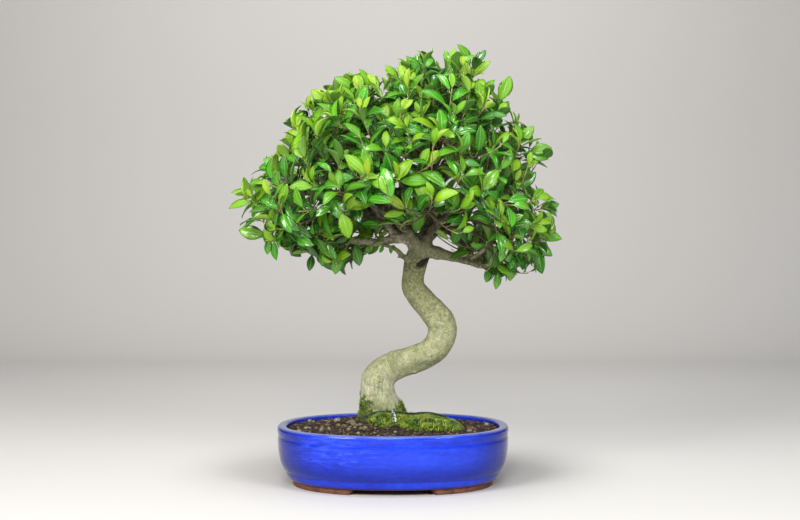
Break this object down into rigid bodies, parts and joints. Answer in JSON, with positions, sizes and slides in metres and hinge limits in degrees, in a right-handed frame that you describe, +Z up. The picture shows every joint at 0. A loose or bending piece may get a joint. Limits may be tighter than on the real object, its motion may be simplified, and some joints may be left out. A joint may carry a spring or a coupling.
{
  "type": "bonsai tree in a pot",
  "caption": "Ficus bonsai with an S-curved trunk and a domed leafy crown, standing in soil and moss in a glazed oval pot on low arc feet.",
  "frame": {"origin": "under the middle of the whole plant's box, on the surface that the pot stands on", "axes": "+Z up along the tree; +X to the right and +Y away from the viewer, in the view that shows the trunk's S curve and the pot's long side"},
  "size_m": [0.4398, 0.3846, 0.5818],
  "materials": {
    "glazed_pot": "deep cobalt blue gloss glaze, thin and paler along the rim, bare terracotta clay under the feet",
    "screen_plastic": "dark moulded plastic mesh",
    "potting_soil": "dark brown granular potting soil with pale grit",
    "bark": "smooth grey-green living bark with fine pores and rings",
    "moss": "bright green cushion moss",
    "wire": "thin dark green coated wire",
    "leaf": "glossy evergreen leaves, yellow-green where young"
  },
  "bodies": {
    "root": {"pot": "glazed_pot", "drain_screen_left": "screen_plastic", "drain_screen_right": "screen_plastic", "soil": "potting_soil", "trunk": "bark", "moss": "moss", "tie_wire": "wire", "spray_01": "leaf", "spray_02": "leaf", "spray_03": "leaf", "spray_04": "leaf", "spray_05": "leaf", "spray_06": "leaf", "spray_07": "leaf", "spray_08": "leaf", "spray_09": "leaf", "spray_10": "leaf", "spray_11": "leaf", "spray_12": "leaf", "spray_13": "leaf", "spray_14": "leaf", "spray_15": "leaf", "spray_16": "leaf", "spray_17": "leaf", "spray_18": "leaf", "spray_19": "leaf", "spray_20": "leaf", "spray_21": "leaf", "spray_22": "leaf", "spray_23": "leaf", "spray_24": "leaf", "spray_25": "leaf", "spray_26": "leaf", "spray_27": "leaf", "spray_28": "leaf", "spray_29": "leaf", "spray_30": "leaf", "spray_31": "leaf", "spray_32": "leaf", "spray_33": "leaf", "spray_34": "leaf"}
  },
  "joints": []
}
